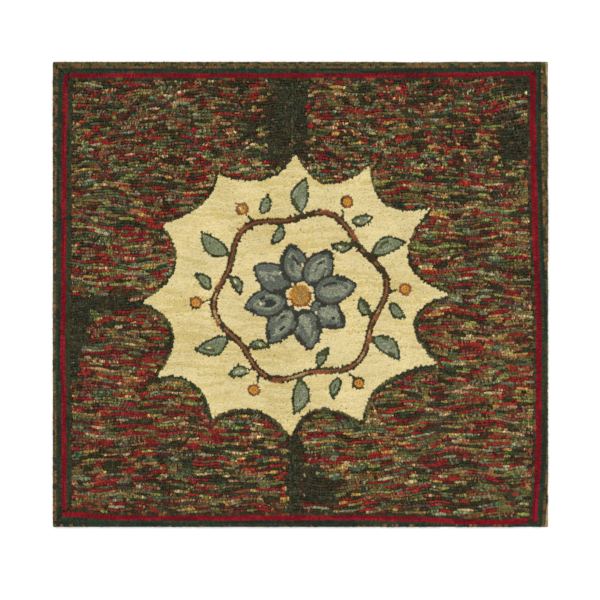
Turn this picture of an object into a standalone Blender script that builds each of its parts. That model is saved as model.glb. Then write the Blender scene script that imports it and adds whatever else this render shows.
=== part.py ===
# Hooked rug: one sheet of foundation cloth hooked with wool strips, and the cotton tape that binds its rim.
# Metres, +Z up. The origin is under the middle of the rug, on the surface it lies on. +Y is its top edge.

import math

import bmesh
import bpy

# Overall size of the rug with its binding
WIDTH = 0.920
LENGTH = 0.864

# The sheet, from the underside up: back stitches and foundation, then the loops
FOUNDATION = 0.0022
PILE = 0.0046

# The binding tape, and how it goes round the rim
TAPE = 0.0010
TAPE_BACK_WIDTH = 0.030
TAPE_LIP_HEIGHT = 0.0034
CLEARANCE = 0.0003
MITRE_GAP = 0.0009

# Width of tape that shows beyond the pile, seen from above
TAPE_SHOW = 0.0008
TAPE_SHOW_RIGHT_CORNERS = 0.0040
SHOW_FADE = 0.055

# Slight dips of the outline: side, place along it from the middle, half its length, depth, in metres
EDGE_DIPS = (
    ("right", 0.350, 0.075, 0.0011),
    ("top", 0.223, 0.060, 0.0009),
)

# Rim of the pile: it swells out over the foot of the last row and rounds off at the top
PILE_SWELL = 0.0012
PILE_SWELL_HEIGHT = 0.0020
SHOULDER = 0.0016
CROWN_INSET = 0.0085

# How far the sheet needs to come down from the tape to the floor
RAMP = 0.014
FIELD_CELLS_X = 24
FIELD_CELLS_Y = 22

# Soft unevenness of the pile, longest along the horizontal rows of hooking
# columns: height in metres, waves across the width, waves up the length, phase in radians
SWELLS = (
    (0.00045, 2.3, 3.1, 0.4),
    (0.00030, 1.2, 7.6, 1.9),
    (0.00022, 4.7, 5.3, 4.1),
)

# The sides: name, direction along the side, and direction out of the rug
SIDES = (
    ("top", (1, 0), (0, 1)),
    ("bottom", (-1, 0), (0, -1)),
    ("left", (0, 1), (-1, 0)),
    ("right", (0, -1), (1, 0)),
)

# Colours as linear RGB, with roughness
PILE_LOOK = ((0.13, 0.075, 0.04), 0.95)
TAPE_LOOK = ((0.42, 0.30, 0.16), 0.9)


def clear_scene():
    for old in list(bpy.data.objects):
        bpy.data.objects.remove(old, do_unlink=True)


def cloth_material(name, look):
    colour, roughness = look
    material = bpy.data.materials.new(name)
    material.use_nodes = True
    shader = material.node_tree.nodes["Principled BSDF"]
    shader.inputs["Base Color"].default_value = (*colour, 1.0)
    shader.inputs["Roughness"].default_value = roughness
    shader.inputs["Metallic"].default_value = 0.0
    material.diffuse_color = (*colour, 1.0)
    return material


def ease(share):
    share = min(1.0, max(0.0, share))
    return share * share * (3.0 - 2.0 * share)


def tape_show(side, along):
    """Width of tape seen beyond the pile. On the right side the pile draws back from it at both corners."""
    if side != "right":
        return TAPE_SHOW
    from_corner = LENGTH / 2 - abs(along)
    near = 1.0 - ease(from_corner / SHOW_FADE)
    return TAPE_SHOW + (TAPE_SHOW_RIGHT_CORNERS - TAPE_SHOW) * near


def edge_dip(side, along):
    """How far the outline draws in at this place on a side."""
    depth = 0.0
    for dip_side, middle, reach, dip in EDGE_DIPS:
        if dip_side == side:
            depth += dip * (1.0 - ease(abs(along - middle) / reach))
    return depth


def lift_over_tape(inset):
    """Height of the sheet's underside: it lies on the floor, and on the tape along the rim."""
    past_tape = inset - TAPE_BACK_WIDTH - CLEARANCE
    return (TAPE + CLEARANCE) * (1.0 - ease(past_tape / RAMP))


def unevenness(x, y):
    across, up = x / WIDTH, y / LENGTH
    return sum(
        height * math.sin(math.tau * (waves_x * across + waves_y * up) + phase)
        for height, waves_x, waves_y, phase in SWELLS
    )


def rim_levels():
    """Rows of the rim from the underside to the crown, as inset from the tape's inner skin and height."""
    foot = FOUNDATION + TAPE + CLEARANCE
    return (
        (CLEARANCE, TAPE + CLEARANCE),
        (CLEARANCE, foot),
        (CLEARANCE - PILE_SWELL, foot + PILE_SWELL_HEIGHT),
        (CLEARANCE - PILE_SWELL + SHOULDER, foot + PILE),
    )


def grid_lines(cells, size):
    """Places of the lines of points from one side to the other, closer together along the rim."""
    ramp_end = TAPE_BACK_WIDTH + CLEARANCE + RAMP
    half = size / 2
    near_rim = (0.0, CROWN_INSET, TAPE_BACK_WIDTH + CLEARANCE, ramp_end)
    field = half - ramp_end
    inner = [-field + 2 * field * i / cells for i in range(1, cells)]
    low = [-half + inset for inset in near_rim]
    return low + inner + [-place for place in reversed(low)]


def rim_inset(side, along, level):
    return TAPE + rim_levels()[level][0] + tape_show(side, along) + edge_dip(side, along)


def place_sheet_point(x, y, level):
    """World place of a sheet point. Level 0 is the underside, and the last level is the pile's top."""
    half_x, half_y = WIDTH / 2, LENGTH / 2
    inset = min(half_x - abs(x), half_y - abs(y))
    placed_x, placed_y = x, y
    if half_x - abs(x) < CROWN_INSET / 2:
        side = "right" if x > 0 else "left"
        placed_x = math.copysign(half_x - rim_inset(side, y, level), x)
    if half_y - abs(y) < CROWN_INSET / 2:
        side = "top" if y > 0 else "bottom"
        placed_y = math.copysign(half_y - rim_inset(side, x, level), y)
    height = rim_levels()[level][1]
    if level == 0:
        height = lift_over_tape(inset)
    if level == len(rim_levels()) - 1:
        inside = ease(inset / CROWN_INSET)
        height = lift_over_tape(inset) + FOUNDATION + PILE
        height += inside * (SHOULDER / 2 + unevenness(x, y))
    return placed_x, placed_y, height


def build_sheet(material, collection):
    """A grid for the underside, drawn up to the pile's top by way of the rim's levels."""
    lines_x = grid_lines(FIELD_CELLS_X, WIDTH)
    lines_y = grid_lines(FIELD_CELLS_Y, LENGTH)
    columns, rows = len(lines_x) - 1, len(lines_y) - 1
    top_level = len(rim_levels()) - 1
    mesh = bmesh.new()
    bmesh.ops.create_grid(mesh, x_segments=columns, y_segments=rows, size=0.5)
    for vertex in mesh.verts:
        column = round((vertex.co.x + 0.5) * columns)
        row = round((vertex.co.y + 0.5) * rows)
        vertex.co = (lines_x[column], lines_y[row], 0.0)
    drawn_up = bmesh.ops.extrude_face_region(mesh, geom=list(mesh.faces), use_keep_orig=True)
    crown = [item for item in drawn_up["geom"] if isinstance(item, bmesh.types.BMVert)]
    bmesh.ops.translate(mesh, verts=crown, vec=(0.0, 0.0, top_level))
    rim = [edge for edge in mesh.edges if edge.verts[0].co.z != edge.verts[1].co.z]
    bmesh.ops.subdivide_edges(mesh, edges=rim, cuts=top_level - 1, use_grid_fill=True)
    for vertex in mesh.verts:
        vertex.co = place_sheet_point(vertex.co.x, vertex.co.y, round(vertex.co.z))
    bmesh.ops.recalc_face_normals(mesh, faces=list(mesh.faces))
    data = bpy.data.meshes.new("hooked_sheet")
    mesh.to_mesh(data)
    mesh.free()
    return add_object("hooked_sheet", data, material, collection)


def tape_section(side, along):
    """Middle line of the tape's section, as inset and height, from its inner edge up to its lip."""
    half = TAPE / 2
    show, dip = tape_show(side, along), edge_dip(side, along)
    return (
        (TAPE_BACK_WIDTH, half),
        (TAPE_BACK_WIDTH / 2, half),
        (dip + 2.2 * TAPE, half),
        (dip + 0.9 * TAPE, half),
        (dip + half, TAPE),
        (dip + half, 1.6 * TAPE),
        (dip + half + 0.45 * show, 0.5 * TAPE + 0.6 * TAPE_LIP_HEIGHT),
        (dip + half + 0.92 * show, TAPE_LIP_HEIGHT),
    )


def build_binding(side, along_way, out_way, material, collection):
    """One length of tape: an open surface along the side, mitred at its ends, given its thickness."""
    runs_across = side in ("top", "bottom")
    half_along = (WIDTH if runs_across else LENGTH) / 2
    half_out = (LENGTH if runs_across else WIDTH) / 2
    lines = grid_lines(FIELD_CELLS_X if runs_across else FIELD_CELLS_Y, 2 * half_along)
    heading = along_way[0] + along_way[1]
    lengths, across = len(lines) - 1, len(tape_section(side, 0.0)) - 1
    mesh = bmesh.new()
    bmesh.ops.create_grid(mesh, x_segments=lengths, y_segments=across, size=0.5)
    for vertex in mesh.verts:
        share = lines[round((vertex.co.x + 0.5) * lengths)] / half_along
        step = round((vertex.co.y + 0.5) * across)
        inset, height = tape_section(side, share * half_along * heading)[step]
        along = share * (half_along - inset - MITRE_GAP)
        out = half_out - inset
        vertex.co = (
            along * along_way[0] + out * out_way[0],
            along * along_way[1] + out * out_way[1],
            height,
        )
    bmesh.ops.recalc_face_normals(mesh, faces=list(mesh.faces))
    data = bpy.data.meshes.new(f"binding_{side}")
    mesh.to_mesh(data)
    mesh.free()
    tape = add_object(f"binding_{side}", data, material, collection)
    thicken = tape.modifiers.new("tape thickness", "SOLIDIFY")
    thicken.thickness = TAPE
    thicken.offset = 0.0
    thicken.use_even_offset = True
    return tape


def add_object(name, data, material, collection):
    made = bpy.data.objects.new(name, data)
    made.data.materials.append(material)
    collection.objects.link(made)
    made.data.shade_smooth()
    made.data.set_sharp_from_angle(angle=math.radians(40))
    return made


def main():
    clear_scene()
    collection = bpy.data.collections.new("hooked_rug")
    bpy.context.scene.collection.children.link(collection)
    wool = cloth_material("hooked wool", PILE_LOOK)
    cotton = cloth_material("cotton tape", TAPE_LOOK)
    build_sheet(wool, collection)
    for side, along_way, out_way in SIDES:
        build_binding(side, along_way, out_way, cotton, collection)


main()
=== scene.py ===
# %% [markdown]
# A hooked wool rug, seen from straight above.
# The maker pulls strips of wool through a coarse cloth with a hook, one loop after the other, in rows.
# It has a ground of mixed leftovers, a border in three colours, and a cream medallion with a wreath.
# The solid sheet and the four lengths of binding tape come from the frame. Here they get their surface.

# %% Load the frame
import math

import bmesh
import bpy
import numpy as np
from mathutils.kdtree import KDTree
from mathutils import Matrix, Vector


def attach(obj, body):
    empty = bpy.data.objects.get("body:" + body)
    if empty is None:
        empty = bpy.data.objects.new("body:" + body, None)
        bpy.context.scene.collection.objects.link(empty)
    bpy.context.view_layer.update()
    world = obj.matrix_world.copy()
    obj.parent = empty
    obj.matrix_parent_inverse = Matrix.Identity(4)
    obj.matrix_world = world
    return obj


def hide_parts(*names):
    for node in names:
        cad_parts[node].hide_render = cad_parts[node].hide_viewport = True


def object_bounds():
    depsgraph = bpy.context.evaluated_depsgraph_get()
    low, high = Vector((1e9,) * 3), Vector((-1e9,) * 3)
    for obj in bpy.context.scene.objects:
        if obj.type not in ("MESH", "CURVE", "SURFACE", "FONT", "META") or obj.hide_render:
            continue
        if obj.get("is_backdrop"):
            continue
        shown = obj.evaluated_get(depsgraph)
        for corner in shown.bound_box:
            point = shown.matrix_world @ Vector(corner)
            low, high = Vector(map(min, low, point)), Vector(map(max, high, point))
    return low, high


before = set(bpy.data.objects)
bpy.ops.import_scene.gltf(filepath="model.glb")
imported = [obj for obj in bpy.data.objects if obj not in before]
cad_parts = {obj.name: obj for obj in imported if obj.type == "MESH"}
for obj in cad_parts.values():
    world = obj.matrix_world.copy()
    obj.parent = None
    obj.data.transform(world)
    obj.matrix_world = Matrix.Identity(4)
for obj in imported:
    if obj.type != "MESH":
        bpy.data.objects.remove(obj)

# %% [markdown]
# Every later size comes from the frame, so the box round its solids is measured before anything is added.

CAD_LOW, CAD_HIGH = (tuple(corner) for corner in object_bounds())
HALF_X = (CAD_HIGH[0] - CAD_LOW[0]) / 2
HALF_Y = (CAD_HIGH[1] - CAD_LOW[1]) / 2
BODY = "root"
SHEET_NODE = "hooked_sheet"
TAPE_NODES = [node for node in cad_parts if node.startswith("binding_")]


def add_object(name, data):
    made = bpy.data.objects.new(name, data)
    bpy.context.scene.collection.objects.link(made)
    return made


def mesh_of(shape, name):
    mesh = bpy.data.meshes.new(name)
    shape.to_mesh(mesh)
    shape.free()
    return mesh


print(f"rug {2 * HALF_X:.3f} by {2 * HALF_Y:.3f} m, {CAD_HIGH[2] * 1000:.1f} mm thick, tapes: {TAPE_NODES}")

# %% [markdown]
# The camera hangs straight over the rug, a little over two and a half metres up, on a long lens.
# A long lens keeps the four edges parallel, as they are in a photograph made for a catalogue.
# The rug fills 495 of the picture's 600 pixels, which fixes how wide the view is.

# %% Camera
PICTURE = 600
RUG_ON_PICTURE = 495.7
RUG_MIDDLE_ON_PICTURE = (300.4, 294.4)
LENS = 85.0
SENSOR = 36.0
OUTLINE_HEIGHT = 0.0045
PIXEL = 2 * HALF_X / RUG_ON_PICTURE
view_width = PIXEL * PICTURE
eye_height = view_width * LENS / SENSOR + OUTLINE_HEIGHT
lens_data = bpy.data.cameras.new("camera")
lens_data.lens, lens_data.sensor_width = LENS, SENSOR
camera = add_object("camera", lens_data)
camera.location = (
    (PICTURE / 2 - RUG_MIDDLE_ON_PICTURE[0]) * PIXEL,
    (RUG_MIDDLE_ON_PICTURE[1] - PICTURE / 2) * PIXEL,
    eye_height,
)
bpy.context.scene.camera = camera
print(f"one pixel is {PIXEL * 1000:.2f} mm on the rug, the eye is {eye_height:.2f} m up")

# %% [markdown]
# A plain pale floor and soft light from all round, with one broad light from the upper left.
# The soft part keeps the colours true, and the broad light shows the loops as small humps.

# %% Floor and light
FLOOR_SIZE = 12.0
FLOOR_COLOUR = (0.97, 0.97, 0.965, 1.0)
SKY_STRENGTH = 0.78
KEY_STRENGTH = 1.35
KEY_SOFTNESS = math.radians(24)
KEY_TILT = (math.radians(-22), math.radians(-18), 0.0)

bpy.context.scene.view_settings.view_transform = "Standard"
shape = bmesh.new()
bmesh.ops.create_grid(shape, x_segments=1, y_segments=1, size=FLOOR_SIZE / 2)
floor_mesh = mesh_of(shape, "floor")
floor = add_object("floor", floor_mesh)
floor_paint = bpy.data.materials.new("pale floor")
floor_paint.use_nodes = True
floor_paint.node_tree.nodes["Principled BSDF"].inputs["Base Color"].default_value = FLOOR_COLOUR
floor_paint.node_tree.nodes["Principled BSDF"].inputs["Roughness"].default_value = 0.9
floor_mesh.materials.append(floor_paint)
floor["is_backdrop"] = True

world = bpy.data.worlds.new("studio")
world.use_nodes = True
world.node_tree.nodes["Background"].inputs["Color"].default_value = (1.0, 1.0, 1.0, 1.0)
world.node_tree.nodes["Background"].inputs["Strength"].default_value = SKY_STRENGTH
bpy.context.scene.world = world
key_data = bpy.data.lights.new("key", "SUN")
key_data.energy, key_data.angle = KEY_STRENGTH, KEY_SOFTNESS
key = add_object("key", key_data)
key.rotation_euler = KEY_TILT
print("floor, sky and key light are set")

# %% [markdown]
# The wool box. A ground of this kind is hooked from leftovers: dark strips first, then greens, reds and
# a few light ones. Each colour is written as the eye sees it, from 0 to 255, and turned to linear light.

# %% Colours of the wool
WOOL = {
    "olive black": (53, 47, 29),
    "forest": (50, 55, 33),
    "bark": (66, 50, 31),
    "pine": (53, 63, 42),
    "charcoal": (68, 60, 47),
    "plum grey": (92, 73, 60),
    "olive": (100, 89, 50),
    "moss": (94, 91, 53),
    "fern": (81, 86, 54),
    "sea grey": (82, 98, 70),
    "tan": (130, 105, 62),
    "khaki": (137, 117, 70),
    "leaf": (108, 110, 61),
    "lime": (136, 138, 70),
    "mint": (130, 134, 98),
    "beige": (178, 158, 110),
    "ash": (104, 103, 76),
    "stone": (124, 112, 82),
    "pale ash": (140, 138, 102),
    "sea green": (80, 92, 66),
    "peach": (182, 140, 100),
    "night green": (47, 51, 37),
    "patch green": (57, 59, 42),
    "patch olive": (63, 60, 40),
    "gold": (174, 136, 70),
    "salmon": (156, 96, 64),
    "rose": (130, 55, 48),
    "crimson": (134, 31, 35),
    "brick": (140, 45, 34),
    "scarlet": (154, 48, 36),
    "maroon": (88, 37, 33),
    "rust": (128, 73, 43),
    "border crimson": (126, 8, 28),
    "border red": (142, 20, 36),
    "border dark red": (104, 14, 28),
    "edge green": (38, 60, 46),
    "deep edge green": (34, 48, 38),
    "edge brown": (98, 80, 46),
    "edge tan": (126, 92, 56),
    "edge olive": (94, 86, 48),
    "cream": (212, 194, 137),
    "pale cream": (217, 201, 149),
    "straw": (205, 186, 123),
    "slate": (104, 110, 98),
    "dark slate": (58, 62, 56),
    "pale slate": (146, 150, 126),
    "sage": (128, 136, 102),
    "dark sage": (66, 74, 50),
    "stem rust": (142, 88, 54),
    "stem tan": (178, 142, 94),
    "stem dark": (62, 52, 36),
    "ochre": (200, 140, 54),
}


def linear(colour):
    """A colour from 0 to 255 as linear light."""
    share = np.asarray(colour, float) / 255.0
    return np.where(share <= 0.04045, share / 12.92, ((share + 0.055) / 1.055) ** 2.4)


WOOL_LIGHT = {name: linear(colour) for name, colour in WOOL.items()}
print(f"{len(WOOL)} wools in the box")

# %% [markdown]
# The sizes of the work. A row is as wide as its strip, and the loops in it stand a little closer.
# The hooked sheet lies on the tape along its rim, so the loops there start higher than in the middle.

# %% Sizes of the hooking
ROW = 0.0046
GROUND_ROW = 0.0053
GROUND_LOOP = 0.0027
LOOP = 0.0030
FOUNDATION_TOP = 0.0022
LOOP_HEIGHT = 0.0052
TAPE_LIFT = 0.0013
TAPE_BACK_WIDTH = 0.0303
LIFT_RAMP = 0.014
TAPE_SHOW = 0.0009
TAPE_SHOW_AT_RIGHT_CORNERS = 0.0042
PILE_BACK_AT_RIGHT_CORNERS = 0.0072
PILE_BACK_LENGTH = 0.008
SHOW_FADE = 0.055
ROUNDED_RIM = 0.0060
HALF_LOOP_WIDTH = 0.0027
PATH_STEP = 0.001
SEED = 1907
rng = np.random.default_rng(SEED)

# Soft unevenness of the pile: height, waves across the width, waves up the length, phase
SWELLS = (
    (0.00045, 2.3, 3.1, 0.4),
    (0.00030, 1.2, 7.6, 1.9),
    (0.00022, 4.7, 5.3, 4.1),
)
SWELL_FADE = 0.02


def ease(share):
    share = np.clip(share, 0.0, 1.0)
    return share * share * (3.0 - 2.0 * share)


def inset_of(x, y):
    """Distance from the nearest edge of the rug."""
    return np.minimum(HALF_X - np.abs(x), HALF_Y - np.abs(y))


def cloth_top(x, y):
    """Height of the foundation cloth's upper side."""
    past_tape = (inset_of(x, y) - TAPE_BACK_WIDTH) / LIFT_RAMP
    return FOUNDATION_TOP + TAPE_LIFT * (1.0 - ease(past_tape))


def swell(x, y):
    """Unevenness of the pile's height."""
    across, up = x / (2 * HALF_X), y / (2 * HALF_Y)
    total = 0.0
    for height, waves_x, waves_y, phase in SWELLS:
        total = total + height * np.sin(math.tau * (waves_x * across + waves_y * up) + phase)
    return total * ease(inset_of(x, y) / SWELL_FADE)


print(f"about {4 * HALF_X * HALF_Y / ROW / LOOP:.0f} loops are needed")

# %% [markdown]
# A rug is hooked in an order: the border lines, the medallion's edge, the motifs, and the grounds last.
# Each new loop needs a free hole in the cloth, so a loop too near one of another row is left out.
# A grid of small squares keeps track of the holes that are taken, which makes the test quick.

# %% The holes in the cloth
SQUARE = 0.0036
CLEARANCE = 0.0029


class Cloth:
    """The loops placed so far: place, turn, colour, region, width across the row, and extra height."""

    def __init__(self):
        self.taken = {}
        self.rows = 0
        self.place, self.turn, self.colour, self.region, self.width, self.lift = [], [], [], [], [], []

    def new_row(self):
        self.rows += 1
        return self.rows

    def free(self, x, y, row=0, clearance=CLEARANCE):
        """Whether no loop of another row is nearer than the clearance."""
        column, line = int(x // SQUARE), int(y // SQUARE)
        for i in (column - 1, column, column + 1):
            for j in (line - 1, line, line + 1):
                for other_x, other_y, other_row in self.taken.get((i, j), ()):
                    near = (other_x - x) ** 2 + (other_y - y) ** 2 < clearance ** 2
                    if near and other_row != row:
                        return False
        return True

    def hook(self, x, y, turn, colour, region, row=0, clearance=CLEARANCE, width=1.0, lift=0.0):
        if not self.free(x, y, row, clearance):
            return False
        self.taken.setdefault((int(x // SQUARE), int(y // SQUARE)), []).append((x, y, row))
        self.place.append((x, y))
        self.turn.append(turn)
        self.colour.append(colour)
        self.region.append(region)
        self.width.append(width)
        self.lift.append(lift)
        return True


cloth = Cloth()
print("the cloth is on the frame, with no loops yet")

# %% [markdown]
# A row is a path, and its loops stand on it a loop's length apart. These helpers walk along any path,
# and give a path beside a closed outline. Beside an outline, the stretches that come too near
# another part of it are dropped, as a maker stops a row where there is no more room.

# %% Walking along rows
# Points that are measured at a time, and how much of its depth a row beside an outline has to keep
BATCH = 2000
DEPTH_KEPT = 0.93


def walk(path, spacing=LOOP, start=0.5):
    """Points along a path, a spacing apart, and the direction there."""
    steps = np.diff(path, axis=0)
    reach = np.concatenate([[0.0], np.cumsum(np.hypot(steps[:, 0], steps[:, 1]))])
    count = max(1, int(round(reach[-1] / spacing)))
    stations = (np.arange(count) + start) * reach[-1] / count
    x, y = np.interp(stations, reach, path[:, 0]), np.interp(stations, reach, path[:, 1])
    index = np.clip(np.searchsorted(reach, stations) - 1, 0, len(steps) - 1)
    turns = np.arctan2(steps[index, 1], steps[index, 0])
    return np.column_stack([x, y]), turns


def closed(outline):
    return np.vstack([outline, outline[:1]])


def distances(points, outline):
    """Distance from each point to the nearest point of an outline."""
    found = []
    for first in range(0, len(points), BATCH):
        gap = points[first:first + BATCH, None, :] - outline[None, :, :]
        found.append(np.sqrt((gap ** 2).sum(2).min(1)))
    return np.concatenate(found)


def inside(points, outline):
    """Which points lie inside a closed outline, by counting the edges to their right."""
    x, y = points[:, 0], points[:, 1]
    within = np.zeros(len(points), bool)
    for (ax, ay), (bx, by) in zip(outline, np.roll(outline, -1, axis=0)):
        if ay == by:
            continue
        crosses = (ay > y) != (by > y)
        within ^= crosses & (x < (bx - ax) * (y - ay) / (by - ay) + ax)
    return within


def row_beside(outline, depth):
    """The row at a depth inside a counter-clockwise outline, or outside it where depth is negative."""
    ahead, behind = np.roll(outline, -1, axis=0), np.roll(outline, 1, axis=0)
    along = ahead - behind
    along /= np.hypot(along[:, 0], along[:, 1])[:, None]
    inward = np.column_stack([-along[:, 1], along[:, 0]])
    points, turns = walk(closed(outline + inward * depth))
    right_side = inside(points, outline) == (depth > 0)
    keep = right_side & (distances(points, outline) > abs(depth) * DEPTH_KEPT)
    return points[keep], turns[keep]


print("helpers are ready")

# %% [markdown]
# The border follows the edge by hand and not by ruler. The short table says how far in the crimson line
# lies along each side. Between it and the edge come two rows of dark green, then mixed browns, as many
# as there is room for. Inside it a dark row or two close the border off from the ground.

# %% The lines of the border
# For each side: place along it from its middle, and distance from the edge to the crimson line
CRIMSON_LINE = {
    "top": ((-0.44, 0.0220), (0.00, 0.0220), (0.32, 0.0210), (0.44, 0.0170)),
    "bottom": (
        (-0.43, 0.0200), (-0.34, 0.0125), (0.00, 0.0125), (0.08, 0.0135),
        (0.22, 0.0100), (0.34, 0.0040), (0.42, 0.0076),
    ),
    "left": (
        (-0.40, 0.0170), (-0.20, 0.0170), (-0.10, 0.0140), (-0.04, 0.0160),
        (0.30, 0.0175), (0.41, 0.0210),
    ),
    "right": (
        (-0.42, 0.0210), (-0.36, 0.0164), (-0.29, 0.0128), (-0.05, 0.0120),
        (0.015, 0.0138), (0.06, 0.0175), (0.29, 0.0230), (0.40, 0.0230),
    ),
}
CRIMSON_ROWS = 2
# How wide the crimson rows are on each side
LINE_ROW = {"top": 0.0042, "bottom": 0.0047, "left": 0.0045, "right": 0.0055}
GREEN_ROWS = 2
ROUNDING_UP = 0.65
LEAST_WIDTH = 0.0020
DARK_ROWS_INSIDE = {"top": 1, "bottom": 1, "left": 2, "right": 1}
SMOOTHING = np.linspace(-0.02, 0.02, 9)
# How a row strays from its line: by how much, how often along it, and the shift from row to row
BORDER_WOBBLE = ((0.0006, 61, 0.8), (0.0004, 143, 1.0))

# Slight dips of the outline: side, place along it from the middle, half its length, depth
EDGE_DIPS = (
    ("right", 0.350, 0.075, 0.0011),
    ("top", 0.223, 0.060, 0.0009),
)


def tape_show(side, along, at_right_corners=PILE_BACK_AT_RIGHT_CORNERS, length=PILE_BACK_LENGTH):
    """Width of tape seen beyond the pile, and the dip of the outline there."""
    along = np.asarray(along, float)
    shown = np.full(along.shape, TAPE_SHOW)
    if side == "right":
        near = 1.0 - ease((HALF_Y - np.abs(along) - length) / (SHOW_FADE - length))
        shown += (at_right_corners - TAPE_SHOW) * near
    for dip_side, middle, reach, dip in EDGE_DIPS:
        if dip_side == side:
            shown += dip * (1.0 - ease(np.abs(along - middle) / reach))
    return shown


def crimson_inset(side, along):
    """Distance from the edge to the crimson line, smoothed as a hand would."""
    places, insets = zip(*CRIMSON_LINE[side])
    return sum(np.interp(along + shift, places, insets) for shift in SMOOTHING) / len(SMOOTHING)


def from_line(side, rank):
    """Distance from the crimson line's outer side to the outer side of a row inside it."""
    return min(rank, CRIMSON_ROWS) * LINE_ROW[side] + max(rank - CRIMSON_ROWS, 0) * ROW


def border_inset(side, along, rank):
    """Distance from the edge of the middle of a border row. Rank 0 is the outer crimson row."""
    wobble = sum(size * np.sin(along * often + rank * shift) for size, often, shift in BORDER_WOBBLE)
    return crimson_inset(side, along) + (from_line(side, rank) + from_line(side, rank + 1)) / 2 + wobble


def rows_outside(side, along):
    """How many rows fit between the crimson line and the tape, and the room for them."""
    room = crimson_inset(side, along) - tape_show(side, along)
    return np.maximum(1, np.floor(room / ROW + ROUNDING_UP)).astype(int), room


def outer_row(side, along, rank):
    """Distance from the edge of the middle of an outer row, and its width. Rank 0 is next to the crimson.
    The green rows are as wide as their strips, and the rows beyond them share what is left."""
    inset, width = 0.0, 0.0
    for shift in SMOOTHING:
        count, room = rows_outside(side, along + shift)
        green = np.where(count > GREEN_ROWS, ROW, room / count)
        brown = (room - GREEN_ROWS * ROW) / np.maximum(count - GREEN_ROWS, 1)
        before = np.minimum(rank, GREEN_ROWS) * green + np.maximum(rank - GREEN_ROWS, 0) * brown
        own = green if rank < GREEN_ROWS else brown
        inset = inset + crimson_inset(side, along + shift) - before - own / 2
        width = width + own
    width = np.maximum(width / len(SMOOTHING), LEAST_WIDTH)
    nearest = tape_show(side, along) + HALF_LOOP_WIDTH / ROW * width
    return np.maximum(inset / len(SMOOTHING), nearest), width


def on_side(side, along, inset):
    """Place on the rug of a point that lies along a side, at an inset from its edge."""
    if side in ("top", "bottom"):
        y = HALF_Y - inset if side == "top" else inset - HALF_Y
        return np.column_stack([along, y])
    x = HALF_X - inset if side == "right" else inset - HALF_X
    return np.column_stack([x, along])


def inside_border(x, y):
    """Which points lie inside the border's innermost row."""
    deep = {side: from_line(side, CRIMSON_ROWS + rows) for side, rows in DARK_ROWS_INSIDE.items()}
    return (
        (HALF_Y - y > crimson_inset("top", x) + deep["top"])
        & (HALF_Y + y > crimson_inset("bottom", x) + deep["bottom"])
        & (HALF_X + x > crimson_inset("left", y) + deep["left"])
        & (HALF_X - x > crimson_inset("right", y) + deep["right"])
    )


print("border lines:", {side: len(points) for side, points in CRIMSON_LINE.items()})

# %% [markdown]
# Along a row the maker hooks one strip until it runs out, and then takes the next. So colour comes in
# runs. The hand pulls several loops alike, so they lean alike too, and then it changes its grip.
# Two helpers give the wools and the lean of a row, and a third one hooks it.

# %% Colour and lean along a row
LOOP_SHADE = {"border": 0.17, "wreath": 0.12, "cream": 0.022, "field": 0.30}
# How far loops lean across their row: several on end alike, and each by itself
LEAN = {"border": (0.22, 0.12), "wreath": (0.25, 0.12), "cream": (0.9, 0.8), "field": (0.42, 0.15)}
# For how many loops on end the lean stays alike
LEAN_RUN = (4, 14)


def pick(names, weights):
    shares = np.asarray(weights, float)
    return names[rng.choice(len(names), p=shares / shares.sum())]


def runs(count, shortest, longest, names, weights):
    """Wool names for the loops of a row, in runs of random length."""
    chosen = []
    while len(chosen) < count:
        loops = max(1, round(rng.uniform(shortest, longest) / LOOP))
        chosen += [pick(names, weights)] * loops
    return chosen[:count]


def leans(count, region):
    """How far loops lean from straight across their row. Several loops on end lean alike."""
    chosen = []
    while len(chosen) < count:
        chosen += [rng.normal(0.0, LEAN[region][0])] * int(rng.integers(*LEAN_RUN))
    return np.array(chosen[:count]) + rng.normal(0.0, LEAN[region][1], count)


def hook_row(points, turns, names, region, sway=0.0003, loose=1.0, widths=None):
    """Hooks a row. Each loop sways a little to the side of its row, and leans a little."""
    row = cloth.new_row()
    widths = np.ones(len(points)) if widths is None else widths
    aside = rng.normal(0.0, sway, len(points)) * loose
    points = points + np.column_stack([-np.sin(turns), np.cos(turns)]) * aside[:, None]
    turns = turns + leans(len(points), region) * loose
    for (x, y), turn, name, width in zip(points, turns, names, widths):
        cloth.hook(x, y, turn, name, region, row, width=width)


print("rows can be hooked in:", ", ".join(LOOP_SHADE))

# %% [markdown]
# The crimson and green rows have long runs of nearly one shade, the browns short mixed ones. Each kind
# of row is one line of a table: its wools, how often each one comes, and how long its runs are.

# %% The border's wools
LINE_RUN = (0.012, 0.08)
BROWN_RUN = (0.003, 0.013)
SPECK_RUN = (0.003, 0.007)

BORDER_WOOLS = {
    "crimson": (("border crimson", "border red", "border dark red"), (6, 4, 1.5), LINE_RUN),
    "green": (("edge green", "deep edge green", "forest", "pine"), (5, 4, 1.5, 2), LINE_RUN),
    "tan": (
        ("edge tan", "edge brown", "rust", "patch olive", "edge olive"),
        (4, 3, 1.4, 2.4, 2), BROWN_RUN,
    ),
    "olive": (
        ("edge olive", "edge brown", "patch olive", "edge tan", "pine"),
        (5, 2.4, 2.4, 0.7, 1.5), BROWN_RUN,
    ),
    "edge": (
        ("edge olive", "edge brown", "patch olive", "edge tan", "forest"),
        (5, 2.4, 2.4, 0.9, 1.5), BROWN_RUN,
    ),
    "low edge": (
        ("deep edge green", "edge green", "olive black", "edge tan", "edge brown"),
        (5, 4, 2.4, 1.8, 1.0), SPECK_RUN,
    ),
    "inner": (
        ("olive black", "charcoal", "patch green", "moss", "bark", "rust"),
        (5, 2.5, 3, 1.6, 3, 1.1), BROWN_RUN,
    ),
    "inner left": (("patch olive", "patch green", "olive black", "pine"), (5, 4, 3, 2), BROWN_RUN),
}


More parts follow.
